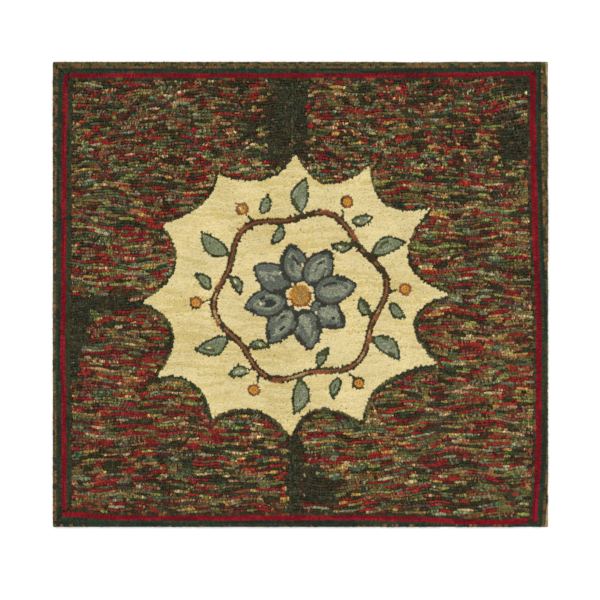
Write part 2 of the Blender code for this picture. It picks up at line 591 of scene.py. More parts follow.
def outer_kind(side, rank, count):
    """Which wools an outer row has, by its rank from the crimson line and the number of rows."""
    if side == "bottom":
        return "low edge" if rank == count - 1 else "green"
    if rank == count - 1:
        return "edge"
    if rank < GREEN_ROWS:
        return "green"
    return "tan" if rank == GREEN_ROWS else "olive"


print(len(BORDER_WOOLS), "kinds of border row")

# %% [markdown]
# The rows are hooked from the inside outwards, each along its whole side. At some corners the crimson
# line of one side stops short of the other, with a dark loop or two between, and a table says where.
# The outermost loops stand straighter than the others, because the binding holds them.

# %% Hooking the border
# How the crimson rows of each side end at its low and its high corner
CRIMSON_ENDS = {
    "top": ("short", "mitred"),
    "bottom": ("mitred", "short"),
    "left": ("short", "through"),
    "right": ("through", "mitred"),
}
# Room left between a row's end and the tape
END_MARGIN = 0.0006
# Length of the dark ends at a low and at a high corner, in rows
DARK_ENDS = (0.8, 1.2)
MOST_OUTER_ROWS = 6
EDGE_LOOSENESS = 0.3


def row_ends(side, rank):
    """How far from its low and its high corner a border row ends, and which ends stop short."""
    neighbours = ("left", "right") if side in ("top", "bottom") else ("bottom", "top")
    corner = (1 if side in ("top", "right") else -1) * (HALF_Y if side in ("top", "bottom") else HALF_X)
    ends, short = [], []
    for neighbour, kind in zip(neighbours, CRIMSON_ENDS[side]):
        ranks = {"mitred": rank + 0.5, "through": 0.5, "short": CRIMSON_ROWS}
        if not 0 <= rank < CRIMSON_ROWS:
            kind = "mitred"
        line = float(crimson_inset(neighbour, np.float64(corner)))
        wide = LINE_ROW[neighbour] if rank >= 0 else ROW
        ends.append(max(float(tape_show(neighbour, corner)) + END_MARGIN, line + ranks[kind] * wide))
        short.append(kind == "short")
    return ends, short


def hook_border_row(side, rank, along, inset, width, kinds):
    """One row along a side. width and kinds give its width and its wools for each place along it."""
    half = HALF_X if side in ("top", "bottom") else HALF_Y
    (low_end, high_end), (low_short, high_short) = row_ends(side, rank)
    keep = (along > low_end - half) & (along < half - high_end)
    if keep.sum() < 5:
        return
    points, turns = walk(on_side(side, along[keep], inset[keep]))
    reach = points[:, 0] if side in ("top", "bottom") else points[:, 1]
    kinds = kinds[np.clip(np.searchsorted(along, reach), 0, len(along) - 1)]
    choices = {}
    for kind in sorted(set(kinds)):
        wools, weights, run = BORDER_WOOLS[kind]
        choices[kind] = runs(len(points), *run, wools, weights)
    names = [choices[kind][i] for i, kind in enumerate(kinds)]
    dark_low, dark_high = low_short * DARK_ENDS[0] * ROW, high_short * DARK_ENDS[1] * ROW
    for i, place in enumerate(reach):
        if place < low_end - half + dark_low or place > half - high_end - dark_high:
            names[i] = "olive black"
    at_edge = np.isin(kinds, ("edge", "low edge"))
    widths = np.interp(reach, along, width) / ROW
    loose = np.where(at_edge, EDGE_LOOSENESS, 1.0)
    hook_row(points, turns, names, "border", loose=loose, widths=widths)


def hook_border():
    for rank in range(CRIMSON_ROWS + max(DARK_ROWS_INSIDE.values()) - 1, -1, -1):
        for side in CRIMSON_LINE:
            if rank >= CRIMSON_ROWS + DARK_ROWS_INSIDE[side]:
                continue
            half = HALF_X if side in ("top", "bottom") else HALF_Y
            along = np.arange(-half, half, PATH_STEP)
            kind = "crimson" if rank < CRIMSON_ROWS else "inner left" if side == "left" else "inner"
            width = np.full(len(along), from_line(side, rank + 1) - from_line(side, rank))
            kinds = np.full(len(along), kind)
            hook_border_row(side, rank, along, border_inset(side, along, rank), width, kinds)
    for rank in range(MOST_OUTER_ROWS):
        for side in CRIMSON_LINE:
            half = HALF_X if side in ("top", "bottom") else HALF_Y
            along = np.arange(-half, half, PATH_STEP)
            counts = rows_outside(side, along)[0]
            along, counts = along[counts > rank], counts[counts > rank]
            if len(along) > 5:
                kinds = np.array([outer_kind(side, rank, count) for count in counts])
                hook_border_row(side, -1 - rank, along, *outer_row(side, along, rank), kinds)


hook_border()
print(len(cloth.place), "loops in the border")

# %% [markdown]
# The medallion is a star of twelve points, with a hollow curve between each two. It was drawn by hand,
# so no two are alike. The table gives the direction and reach of each point, how hollow the curve after
# it is, and how far along that curve its deepest place lies. That is all a curve needs.

# %% The medallion's outline
MEDALLION_MIDDLE = (0.0, -0.003)
# Direction in degrees, reach in metres, hollow of the curve after it as a share of its chord, and
# place of its deepest point along that chord
POINTS = (
    (0.5, 0.276, 0.375, 0.47), (34.0, 0.290, 0.298, 0.54), (62.0, 0.271, 0.330, 0.55),
    (92.0, 0.263, 0.216, 0.42), (124.0, 0.271, 0.150, 0.37), (152.5, 0.286, 0.295, 0.47),
    (182.0, 0.294, 0.322, 0.46), (209.5, 0.302, 0.236, 0.47), (234.0, 0.277, 0.220, 0.52),
    (266.0, 0.261, 0.306, 0.40), (296.0, 0.260, 0.198, 0.38), (333.7, 0.283, 0.445, 0.55),
)
CURVE_STEPS = 60


def hollow_curve(start, end, depth, deepest):
    """Points from start up to end on a curve that sinks to the left of its chord."""
    chord = end - start
    left = np.array([-chord[1], chord[0]])
    share = np.linspace(0.0, 1.0, CURVE_STEPS, endpoint=False)
    aside = np.where(share < deepest, 1.0 - share / deepest, (share - deepest) / (1.0 - deepest))
    return start + np.outer(share, chord) + np.outer(depth * (1.0 - aside ** 2), left)


def medallion_outline():
    angles, reach, hollow, deepest = np.array(POINTS).T
    angles = np.radians(angles)
    tips = np.column_stack([np.cos(angles), np.sin(angles)]) * reach[:, None] + MEDALLION_MIDDLE
    ends = zip(tips, np.roll(tips, -1, axis=0), hollow, deepest)
    return np.vstack([hollow_curve(*curve) for curve in ends])


medallion = medallion_outline()
print(f"medallion {np.ptp(medallion[:, 0]):.3f} by {np.ptp(medallion[:, 1]):.3f} m")

# %% [markdown]
# A darker row follows the outline on the outside, and in the lower half there are two of them.
# The cream has no such row: its strips end at the outline one by one, so the edge is slightly ragged.
# The middle of the rug is marked by one upright row above the medallion and one below it.

# %% Hooking the medallion's edge
OUTLINE_DARKS = (
    ("patch green", "pine", "charcoal", "moss", "olive", "plum grey", "olive black"),
    (4, 4, 3, 3, 2, 2, 3),
)
OUTLINE_STEP = 0.0006
# The second row stays below a waving line: its height, and the depth and number of its waves
SECOND_ROW_TOP, SECOND_ROW_WAVE, SECOND_ROW_WAVES = 0.02, 0.03, 25
# A row straight up from the top point, and one down from the bottom point: place across, ends, wools
CENTRE_LINES = (
    (-0.0147, 0.262, 0.405, (("pine", "fern", "patch green"), (4, 3, 2))),
    (-0.0184, -0.400, -0.268, (("patch green", "patch olive", "forest", "olive"), (4, 4, 3, 1))),
)


def hook_medallion_edge():
    for rank in (0, 1):
        points, turns = row_beside(medallion, -(rank + 0.5) * ROW - OUTLINE_STEP)
        line = SECOND_ROW_TOP + SECOND_ROW_WAVE * np.sin(points[:, 0] * SECOND_ROW_WAVES)
        lower = points[:, 1] < line
        keep = lower | (rank == 0)
        names = runs(len(points), 0.012, 0.05, *OUTLINE_DARKS)
        hook_row(points[keep], turns[keep], np.array(names)[keep], "field", sway=0.0007)


def hook_centre_lines():
    for across, low, high, wools in CENTRE_LINES:
        points, turns = walk(np.array([(across, low), (across, high)]))
        hook_row(points, turns, runs(len(points), 0.006, 0.02, *wools), "field", sway=0.0005)


hook_medallion_edge()
hook_centre_lines()
print(len(cloth.place), "loops with the medallion's edge")

# %% [markdown]
# The wreath: a flower of eight slate petals with an ochre eye, a twining stem round it, sage leaves that
# point outwards and small ochre buds. Each motif is filled with rows that echo its outline.

# %% Shapes of the motifs
FLOWER_REACH = 0.104
PETALS = 8
PETAL_START = 0.024
PETAL_WIDTH = 0.056
PETAL_FULLNESS = 0.62
PETAL_UNEVENNESS = 0.035
EYE_RADIUS = 0.021
STEM_RADIUS = 0.152
STEM_WAVE = 0.010
STEM_WAVES = 6
BUD_RADIUS = 0.0125
BUD_AHEAD = 0.03
BUD_GAP = 0.001
STALK = 0.015
# Leaves and buds take turns round the stem, from the first direction, in degrees
STEM_STATIONS = 12
FIRST_STATION = 92
# Leaves: how far along the stem they sit and how they turn from there, both as angles, how many rows
# inside the stem's outer side they start, length and width, and bend
LEAVES = {
    "outer": (-0.03, -0.22, 0.0, (0.072, 0.035), 0.10),
    "inner": (0.20, 0.20 + 2.35, 3.2, (0.046, 0.023), 0.10),
    "beside a bud": (-0.10, -0.85, 0.0, (0.046, 0.023), -0.08),
}


def petal(angle, start, end, width):
    """A rounded petal that is widest past its middle, counter-clockwise."""
    share = np.linspace(0.0, 1.0, 90)
    half = 0.5 * width * np.sin(math.pi * share ** (1 / (2 * PETAL_FULLNESS))) ** PETAL_FULLNESS
    along = start + (end - start) * share
    side = np.column_stack([np.concatenate([along, along[::-1]]), np.concatenate([-half, half[::-1]])])
    return turned(side, angle)


def leaf(place, angle, size, bend):
    """A pointed leaf from its foot outwards, a little bent, counter-clockwise."""
    length, width = size
    share = np.linspace(0.0, 1.0, 80)
    half = 0.5 * width * np.sin(math.pi * share ** 0.85) ** 0.9
    middle = bend * length * np.sin(math.pi * share)
    along = length * share
    edge = np.concatenate([middle - half, (middle + half)[::-1]])
    side = np.column_stack([np.concatenate([along, along[::-1]]), edge])
    return turned(side, angle) + place


def turned(points, angle):
    cosine, sine = math.cos(angle), math.sin(angle)
    return points @ np.array([[cosine, sine], [-sine, cosine]])


def round_shape(place, radius):
    angle = np.linspace(0, math.tau, 90, endpoint=False)
    return np.column_stack([np.cos(angle), np.sin(angle)]) * radius + place


def stem_reach(angle):
    return STEM_RADIUS + STEM_WAVE * np.sin(STEM_WAVES * angle + 0.6)


def around(angle, reach):
    return np.array([math.cos(angle) * reach, math.sin(angle) * reach]) + MEDALLION_MIDDLE


print("motif shapes are ready")

# %% [markdown]
# Filling a motif: the first row inside its outline takes a darker wool, the next rows the body colour,
# and the last ones a lighter one. So each petal and leaf has a drawn edge and a soft middle.

# %% Hooking the motifs


def fill_motif(outline, wools):
    """Rows that echo an outline, from its edge to its middle. wools has one entry for each row."""
    rank = 0
    while True:
        points, turns = row_beside(outline, (rank + 0.5) * ROW)
        if len(points) == 0:
            return rank
        names, weights = wools[min(rank, len(wools) - 1)]
        hook_row(points, turns, runs(len(points), 0.01, 0.03, names, weights), "wreath")
        rank += 1


PETAL_WOOLS = (
    (("dark slate", "charcoal", "olive black"), (6, 2, 1)),
    (("slate", "dark slate", "charcoal"), (6, 2.5, 1)),
    (("slate", "pale slate"), (5, 2)),
    (("slate", "pale slate", "dark slate"), (3, 4, 1)),
)
EYE_WOOLS = (
    (("stem rust", "ochre"), (3, 1)),
    (("ochre", "gold"), (4, 2)),
)
LEAF_WOOLS = (
    (("dark sage", "pine", "olive black"), (4, 2, 1)),
    (("sage", "pale slate", "fern"), (5, 1, 1)),
)
BUD_WOOLS = (
    (("stem rust", "stem dark"), (3, 1)),
    (("ochre", "gold"), (4, 1)),
)
STEM_ROWS = (
    (-1, ("stem dark", "olive black", "dark sage"), (5, 2, 2)),
    (0, ("stem rust", "stem tan", "rust", "bark"), (5, 2, 2, 1.5)),
    (1, ("stem dark", "stem rust", "bark", "dark sage"), (4, 2, 2, 1.5)),
)


def short_stem(start, end, wools):
    """One row from a stem to what it carries."""
    path = np.linspace(start, end, 20)
    points, turns = walk(path)
    hook_row(points, turns, runs(len(points), 0.02, 0.05, *wools), "wreath")


def hook_leaf(kind, towards, foot):
    """One leaf of the wreath, near the direction given from the medallion's middle."""
    ahead, turn, rows_in, size, bend = LEAVES[kind]
    fill_motif(leaf(around(towards + ahead, foot - rows_in * ROW), towards + turn, size, bend), LEAF_WOOLS)


def hook_wreath():
    middle = np.array(MEDALLION_MIDDLE)
    fill_motif(round_shape(middle, EYE_RADIUS), EYE_WOOLS)
    for number in range(PETALS):
        angle = math.tau * (number + 0.25) / PETALS
        reach = FLOWER_REACH * (1.0 + PETAL_UNEVENNESS * math.sin(5.0 * number + 1.0))
        fill_motif(petal(angle, PETAL_START, reach, PETAL_WIDTH) + middle, PETAL_WOOLS)
    angle = np.linspace(0, math.tau, 720, endpoint=False)
    for rank, names, weights in STEM_ROWS:
        reach = stem_reach(angle) + rank * ROW
        path = closed(np.column_stack([np.cos(angle), np.sin(angle)]) * reach[:, None] + middle)
        points, turns = walk(path)
        hook_row(points, turns, runs(len(points), 0.008, 0.03, names, weights), "wreath")
    for number in range(STEM_STATIONS):
        towards = math.radians(FIRST_STATION - 360 / STEM_STATIONS * number)
        foot = stem_reach(towards) + len(STEM_ROWS) / 2 * ROW
        if number % 2 == 0:
            hook_leaf("outer", towards, foot)
            hook_leaf("inner", towards, foot)
        else:
            bud = around(towards + BUD_AHEAD, foot + STALK + BUD_GAP + BUD_RADIUS)
            fill_motif(round_shape(bud, BUD_RADIUS), BUD_WOOLS)
            short_stem(around(towards, foot), around(towards + BUD_AHEAD, foot + STALK), STEM_ROWS[0][1:])
            hook_leaf("beside a bud", towards, foot)


hook_wreath()
print(len(cloth.place), "loops with the wreath")

# %% [markdown]
# The medallion's cream ground. Its rows wander, so the light catches them in all directions, and the
# shade changes slowly from strip to strip.

# %% Hooking the cream ground
CREAMS = ("cream", "pale cream", "straw")
CREAM_LOOP = 0.0034
CREAM_RUN = (0.02, 0.08)
CREAM_SWAY = 0.0010
# A loop's width at the outline, and how fast it grows with each row's width away from it
CREAM_EDGE_WIDTH, CREAM_WIDENING = 0.45, 1.3
# The waves of a row: depth, waves across, waves up, phase
CREAM_WAVES = ((0.0060, 19.0, 11.0, 0.3), (0.0035, 43.0, -26.0, 1.7), (0.0014, 97.0, 60.0, 0.9))


def cream_patch(x, y):
    """Slow change of the cream, from pale to straw."""
    across = np.sin(9.0 * x + 2.1 + 1.6 * np.sin(12.0 * y))
    up = np.sin(11.0 * y - 0.7 + 1.2 * np.sin(8.0 * x))
    return 0.5 + 0.5 * across * up


def hook_cream():
    reach = float(np.abs(medallion).max())
    for height in np.arange(-reach, reach, ROW):
        x = np.arange(-reach, reach, PATH_STEP)
        y = np.full_like(x, height)
        for size, waves_x, waves_y, phase in CREAM_WAVES:
            y = y + size * np.sin(waves_x * x + waves_y * height + phase)
        points, turns = walk(np.column_stack([x, y]), CREAM_LOOP, rng.uniform(0.2, 0.8))
        keep = inside(points, medallion)
        points, turns = points[keep], turns[keep]
        if len(points) == 0:
            continue
        names = []
        while len(names) < len(points):
            straw = cream_patch(*points[len(names)])
            name = pick(CREAMS, (3.0, 6.0 * (1 - straw), 6.0 * straw))
            names += [name] * round(rng.uniform(*CREAM_RUN) / CREAM_LOOP)
        widths = CREAM_EDGE_WIDTH + CREAM_WIDENING * distances(points, medallion) / ROW
        widths = np.clip(widths, CREAM_EDGE_WIDTH, 1.0)
        hook_row(points, turns, names, "cream", sway=CREAM_SWAY, widths=widths)


hook_cream()
print(len(cloth.place), "loops with the cream ground")

# %% [markdown]
# The ground of leftovers is never planned strip by strip. The maker grabs from heaps of darks, middle
# shades, reds and lights, so each place on the rug has its shares of the four heaps. Some strips are
# tweeds, whose loops change colour one by one. A few places were hooked in plain dark wool.

# %% The ground's colours
GROUPS = {
    "dark": (("olive black", "forest", "bark", "pine", "charcoal", "maroon"), (6, 4, 5, 3, 1.6, 1.8)),
    "middle": (
        ("olive", "moss", "fern", "sea grey", "sea green", "tan", "plum grey", "ash", "stone"),
        (5, 3.6, 3, 1.6, 1.8, 4, 2, 1.6, 1.6),
    ),
    "red": (("crimson", "brick", "scarlet", "rose", "maroon", "rust"), (7.5, 3.8, 2.0, 2.6, 2.6, 3.0)),
    "light": (
        ("lime", "leaf", "beige", "gold", "salmon", "mint", "khaki", "pale ash", "peach"),
        (4.4, 3.2, 1.4, 3.0, 1.8, 2.2, 3.2, 1.2, 1.0),
    ),
}
HEAPS = tuple(GROUPS)
# Height on the rug from its middle, and the shares of dark, middle, red and light strips there
SHARES = (
    (-0.42, (0.38, 0.29, 0.20, 0.13)),
    (-0.25, (0.20, 0.27, 0.29, 0.24)),
    (0.00, (0.21, 0.28, 0.26, 0.25)),
    (0.20, (0.31, 0.29, 0.21, 0.19)),
    (0.40, (0.55, 0.27, 0.14, 0.04)),
)
# How much more often light strips come on the right side, and red ones in the lower left corner
LIGHTER_TO_THE_RIGHT = 0.40
REDDER_IN_LOWER_LEFT = 0.4
# Tweeds, of a light and a dark yarn
TWEEDS = (
    ("khaki", "bark"), ("khaki", "olive"), ("peach", "rust"), ("stone", "charcoal"), ("beige", "tan"),
    ("mint", "fern"), ("lime", "olive"), ("salmon", "bark"), ("stone", "maroon"), ("tan", "maroon"),
    ("rose", "olive"), ("rust", "moss"), ("crimson", "bark"), ("ash", "rose"), ("brick", "pine"),
)
# Plain dark places: left, right, low and high side in metres from the middle, how plain, how sharp
DARK_PLACES = (
    ("top middle", -0.054, 0.011, 0.310, 0.410, 1.00, 0.010),
    ("its left shoulder", -0.070, -0.052, 0.324, 0.383, 0.60, 0.012),
    ("top middle, lower part", -0.067, 0.011, 0.249, 0.327, 0.97, 0.016),
    ("left of it", -0.115, -0.067, 0.262, 0.322, 0.50, 0.030),
    ("top right corner", 0.374, 0.430, 0.372, 0.405, 0.90, 0.010),
    ("right, upper", 0.372, 0.430, 0.248, 0.316, 1.00, 0.010),
    ("left, band", -0.435, -0.319, -0.030, -0.003, 1.00, 0.008),
    ("left, arm to the point", -0.325, -0.282, -0.026, -0.009, 0.88, 0.008),
    ("left, down the border", -0.435, -0.390, -0.094, -0.010, 1.00, 0.010),
    ("left, foot of it", -0.435, -0.407, -0.150, -0.080, 0.97, 0.008),
    ("bottom middle", -0.027, 0.003, -0.410, -0.262, 0.98, 0.006),
    ("bottom, blob beside it", 0.002, 0.068, -0.389, -0.343, 1.00, 0.010),
    ("bottom, top of the blob", 0.002, 0.038, -0.350, -0.316, 0.90, 0.010),
    ("bottom left", -0.232, -0.020, -0.330, -0.262, 0.28, 0.060),
    ("right of the medallion", 0.262, 0.300, -0.160, -0.132, 0.60, 0.012),
)
PATCH_WOOLS = (("patch olive", "patch green", "olive black", "night green"), (3, 4, 3, 3))


def plainness(x, y):
    """How surely a strip at each of these places is plain dark."""
    most = np.zeros(len(x))
    for _, left, right, low, high, strength, edge in DARK_PLACES:
        inward = np.minimum(np.minimum(x - left, right - x), np.minimum(y - low, high - y))
        most = np.maximum(most, strength * ease(0.5 + inward / edge))
    return most


def ground_wool(x, y):
    """A wool for a strip at this place."""
    heights, tables = zip(*SHARES)
    shares = [np.interp(y, heights, heap) for heap in zip(*tables)]
    to_the_left = max(0.0, -x / HALF_X)
    low_down = max(0.0, min(1.0, -2.5 * y / HALF_Y))
    shares[HEAPS.index("light")] *= 1.0 + LIGHTER_TO_THE_RIGHT * x / HALF_X
    shares[HEAPS.index("red")] *= 1.0 + REDDER_IN_LOWER_LEFT * to_the_left * low_down
    return pick(*GROUPS[pick(HEAPS, shares)])


print(len(DARK_PLACES), "plain dark places")

# %% [markdown]
# The rows of the ground run from side to side and wander like lines on a hand-drawn map. In the lower
# right part they climb, and towards the upper right corner they climb more. Each row is one long path
# for the whole width. Sums of sines make it wander, because they never jump.

# %% Rows of the ground
# The waves of a row: depth, waves across, waves up, phase
GROUND_WAVES = (
    (0.0028, 9.0, 5.0, 0.0),
    (0.0034, 23.0, -21.0, 1.3),
    (0.0021, 57.0, 48.0, 0.0),
    (0.0007, 131.0, -90.0, 0.0),
)
SLOPE_START = 0.03
SLOPE = 0.07
CORNER_START = 0.33
CORNER_SLOPE = 0.20


def ground_row(height):
    """The path of one row: gentle waves, and a rise to the right in the lower right part."""
    x = np.arange(-HALF_X, HALF_X, PATH_STEP)
    wave = sum(size * np.sin(across * x + up * height + phase) for size, across, up, phase in GROUND_WAVES)
    low_part = float(ease(-height / 0.25))
    rise = SLOPE * low_part * np.maximum(x - SLOPE_START, 0.0) * (1.0 - 0.6 * x / HALF_X)
    corner = CORNER_SLOPE * float(ease((height - 0.25) / 0.10)) * np.maximum(x - CORNER_START, 0.0)
    return np.column_stack([x, height + wave + rise + corner])


print(f"{np.ptp(ground_row(0.0)[:, 1]) * 1000:.0f} mm is how far the middle row wanders")

# %% [markdown]
# Colour comes in dashes of four to eleven loops, and now and then in a longer one. A strip stands a
# little higher in its middle and is pulled tight at its ends, which is why each dash shows as its own
# small cushion. The upper part was hooked with shorter strips and more tweeds.

# %% Hooking the ground
TWEED_SHARE = 0.26
DARK_YARN = 0.50
DASH = (0.010, 0.031)
# The share of long dashes, and how much longer they are
LONG_DASH, LONGER = 0.12, 1.8
# Above this height the strips are shorter and more often tweeds
TWEEDY_ABOVE = 0.22
TWEEDY_DASH, TWEEDY_SHARE = 0.7, 1.4
PLACE_JITTER = 0.004
GROUND_SWAY = 0.0004
DASH_WIDTHS = (0.90, 1.42)
DASH_LIFT = 0.0011
DASH_END_DROP = 0.0007
DASH_END_WIDTH = 0.62
MEDALLION_REACH = 0.32


def hook_dash(points, turns, keep, plain, wools, row):
    """One strip of the ground. It is lower and narrower at its ends, where it is pulled tight."""
    lean, wide = rng.normal(0.0, LEAN["field"][0]), rng.uniform(*DASH_WIDTHS)
    from_end = np.abs(np.linspace(-1.0, 1.0, len(points))) ** 3
    plain_below, patch = rng.random(), pick(*PATCH_WOOLS)
    for (x, y), turn, kept, how_plain, end in zip(points, turns, keep, plain, from_end):
        if kept:
            wool = wools[int(rng.random() < DARK_YARN)] if how_plain <= plain_below else patch
            turn = turn + lean + rng.normal(0.0, LEAN["field"][1])
            width = wide * (1.0 - (1.0 - DASH_END_WIDTH) * end)
            lift = DASH_LIFT * (wide - sum(DASH_WIDTHS) / 2) - DASH_END_DROP * end
            cloth.hook(x, y, turn, wool, "field", row, width=width, lift=lift)


def hook_ground():
    for height in np.arange(-HALF_Y - 0.03, HALF_Y + 0.01, GROUND_ROW):
        points, turns = walk(ground_row(height), GROUND_LOOP, rng.uniform(0.1, 0.9))
        points = points + rng.normal(0.0, GROUND_SWAY, points.shape)
        keep = inside_border(points[:, 0], points[:, 1])
        near = np.hypot(points[:, 0], points[:, 1]) < MEDALLION_REACH
        keep[near] &= ~inside(points[near], medallion)
        plain = plainness(points[:, 0] + rng.normal(0.0, PLACE_JITTER), points[:, 1])
        row, place, tweedy = cloth.new_row(), 0, height > TWEEDY_ABOVE
        while place < len(points):
            length = rng.uniform(*DASH) * (TWEEDY_DASH if tweedy else 1.0)
            length *= LONGER if rng.random() < LONG_DASH else 1.0
            dash = slice(place, place + max(3, round(length / GROUND_LOOP)))
            wools = (ground_wool(points[place, 0], height),) * 2
            if rng.random() < TWEED_SHARE * (TWEEDY_SHARE if tweedy else 1.0):
                wools = TWEEDS[rng.integers(len(TWEEDS))]
            hook_dash(points[dash], turns[dash], keep[dash], plain[dash], wools, row)
            place = dash.stop


hook_ground()
print(len(cloth.place), "loops with the ground")

# %% [markdown]
# Where rows meet at an angle, small bare spots stay. The maker fills them with single loops of what
# lies beside them. The bare spots are found on a fine map of the cloth, where each loop covers a disc.

# %% Filling bare spots
MAP_STEP = 0.001
BARE_REACH = 0.0033
SINGLE_LOOP_TURN = 0.3


def bare_spots(reach):
    """Places further than reach from each loop, on a map with a square for each millimetre."""
    columns, rows = int(2 * HALF_X / MAP_STEP), int(2 * HALF_Y / MAP_STEP)
    covered = np.zeros((columns, rows), bool)
    loops = np.array(cloth.place)
    span = int(math.ceil(reach / MAP_STEP))
    at = np.round((loops + (HALF_X, HALF_Y)) / MAP_STEP - 0.5).astype(int)
    for i in range(-span, span + 1):
        for j in range(-span, span + 1):
            if math.hypot(i, j) * MAP_STEP <= reach:
                column = np.clip(at[:, 0] + i, 0, columns - 1)
                row = np.clip(at[:, 1] + j, 0, rows - 1)
                covered[column, row] = True
    bare = np.argwhere(~covered)
    return (bare + 0.5) * MAP_STEP - (HALF_X, HALF_Y)


def fill_bare_spots():
    spots = bare_spots(BARE_REACH)
    rng.shuffle(spots)
    loops, added = np.array(cloth.place), 0
    for x, y in spots:
        if inset_of(x, y) < TAPE_SHOW + HALF_LOOP_WIDTH or not cloth.free(x, y, -1, BARE_REACH):
            continue
        if x > 0 and HALF_X - x < tape_show("right", y) + HALF_LOOP_WIDTH:
            continue
        nearest = int(np.argmin(((loops - (x, y)) ** 2).sum(1)))
        turn = cloth.turn[nearest] + rng.normal(0, SINGLE_LOOP_TURN)
        added += cloth.hook(x, y, turn, cloth.colour[nearest], cloth.region[nearest], 0, BARE_REACH)
    return added


print(fill_bare_spots(), "single loops fill the bare spots")

# %% [markdown]
# One loop is a strip of wool that comes up, folds over and goes down again. Seen from above it is a
# small ridge across its row. It could be a bent ribbon with a hollow inside, but nobody sees that hollow.
# There are tens of thousands of loops, so each has ten points and no more.

# %% One loop of wool
# Rings of the loop from the cloth up: half its length along the row, half its width across it, height
LOOP_RINGS = ((0.52, 0.46, 0.00), (0.46, 0.52, 0.62))
RIDGE_HALF_WIDTH = 0.33


def make_loop():
    shape = bmesh.new()
    up = shape.verts.layers.float.new("up_the_loop")

    def corner(x, y, height):
        made = shape.verts.new((x, y, height))
        made[up] = height
        return made

    foot, shoulder = (
        [corner(i * length, j * width, height) for i, j in ((-1, -1), (1, -1), (1, 1), (-1, 1))]
        for length, width, height in LOOP_RINGS
    )
    near, far = corner(0.0, -RIDGE_HALF_WIDTH, 1.0), corner(0.0, RIDGE_HALF_WIDTH, 1.0)
    for i in range(4):
        shape.faces.new((foot[i], foot[(i + 1) % 4], shoulder[(i + 1) % 4], shoulder[i]))
    shape.faces.new((shoulder[0], shoulder[1], near))
    shape.faces.new((shoulder[1], shoulder[2], far, near))
    shape.faces.new((shoulder[2], shoulder[3], far))
    shape.faces.new((shoulder[3], shoulder[0], near, far))
    for face in shape.faces:
        face.smooth = True
    return add_object("one loop", mesh_of(shape, "one loop"))


one_loop = make_loop()
print(len(one_loop.data.vertices), "points in one loop")

# %% [markdown]
# Geometry Nodes put a loop on each place. The places carry the row's direction, the loop's size and its
# colour, which the finished mesh keeps. A seeded random tilt makes no two loops lean alike.

# %% The node tree that hooks the loops


def add_node(tree, kind, **settings):
    node = tree.nodes.new(kind)
    for name, value in settings.items():
        setattr(node, name, value)
    return node


def add_sockets(tree, way, **kinds):
    for name, kind in kinds.items():
        tree.interface.new_socket(name.replace("_", " "), in_out=way, socket_type="NodeSocket" + kind)


def named_attribute(tree, name, kind):
    node = add_node(tree, "GeometryNodeInputNamedAttribute", data_type=kind)
    node.inputs["Name"].default_value = name
    return node.outputs["Attribute"]


def make_hooking_tree():
    tree = bpy.data.node_groups.new("hooking", "GeometryNodeTree")
    add_sockets(tree, "INPUT", Places="Geometry", Loop="Object", Wool="Material", Tilt="Float", Seed="Int")
    add_sockets(tree, "OUTPUT", Pile="Geometry")
    given, result = add_node(tree, "NodeGroupInput"), add_node(tree, "NodeGroupOutput")
    link = tree.links.new
    loop_info = add_node(tree, "GeometryNodeObjectInfo")
    hook = add_node(tree, "GeometryNodeInstanceOnPoints")
    lean = add_node(tree, "FunctionNodeRandomValue", data_type="FLOAT_VECTOR")
    down = add_node(tree, "ShaderNodeMath", operation="MULTIPLY")
    down.inputs[1].default_value = -1.0
    least, most = add_node(tree, "ShaderNodeCombineXYZ"), add_node(tree, "ShaderNodeCombineXYZ")
    along_row = add_node(tree, "ShaderNodeCombineXYZ")
    turn = add_node(tree, "ShaderNodeVectorMath", operation="ADD")
    to_rotation = add_node(tree, "FunctionNodeEulerToRotation")
    realize = add_node(tree, "GeometryNodeRealizeInstances")
    dress = add_node(tree, "GeometryNodeSetMaterial")
    link(given.outputs["Loop"], loop_info.inputs["Object"])
    link(given.outputs["Places"], hook.inputs["Points"])
    link(loop_info.outputs["Geometry"], hook.inputs["Instance"])
    link(given.outputs["Tilt"], down.inputs[0])
    for axis in ("X", "Y"):
        link(down.outputs[0], least.inputs[axis])
        link(given.outputs["Tilt"], most.inputs[axis])
    link(least.outputs[0], lean.inputs["Min"])
    link(most.outputs[0], lean.inputs["Max"])
    link(given.outputs["Seed"], lean.inputs["Seed"])
    link(named_attribute(tree, "row_turn", "FLOAT"), along_row.inputs["Z"])
    link(lean.outputs["Value"], turn.inputs[0])
    link(along_row.outputs[0], turn.inputs[1])
    link(turn.outputs[0], to_rotation.inputs["Euler"])
    link(to_rotation.outputs[0], hook.inputs["Rotation"])
    link(named_attribute(tree, "loop_size", "FLOAT_VECTOR"), hook.inputs["Scale"])
    link(hook.outputs["Instances"], realize.inputs["Geometry"])
    link(realize.outputs["Geometry"], dress.inputs["Geometry"])
    link(given.outputs["Wool"], dress.inputs["Material"])
    link(dress.outputs["Geometry"], result.inputs["Pile"])
    return tree


hooking = make_hooking_tree()
print(len(hooking.nodes), "nodes in the hooking tree")

# %% [markdown]
# Every material of the rug mixes colours, reads noise and spreads a value over a new range. Short
# helpers for these keep the materials themselves easy to read.

# %% Helpers for materials


def feed(tree, node, values):
    """Give each named input another node's output, a number or a colour."""
    for name, value in values.items():
        if isinstance(value, bpy.types.NodeSocket):
            tree.links.new(value, node.inputs[name])
        else:
            node.inputs[name].default_value = (*value, 1.0) if isinstance(value, tuple) else value


def mix_colours(tree, blend, amount, first, second):
    node = add_node(tree, "ShaderNodeMix", data_type="RGBA", blend_type=blend)
    feed(tree, node, {0: amount, 6: first, 7: second})
    return node.outputs[2]


def calculate(tree, operation, *values):
    node = add_node(tree, "ShaderNodeMath", operation=operation)
    feed(tree, node, dict(enumerate(values)))
    return node.outputs[0]


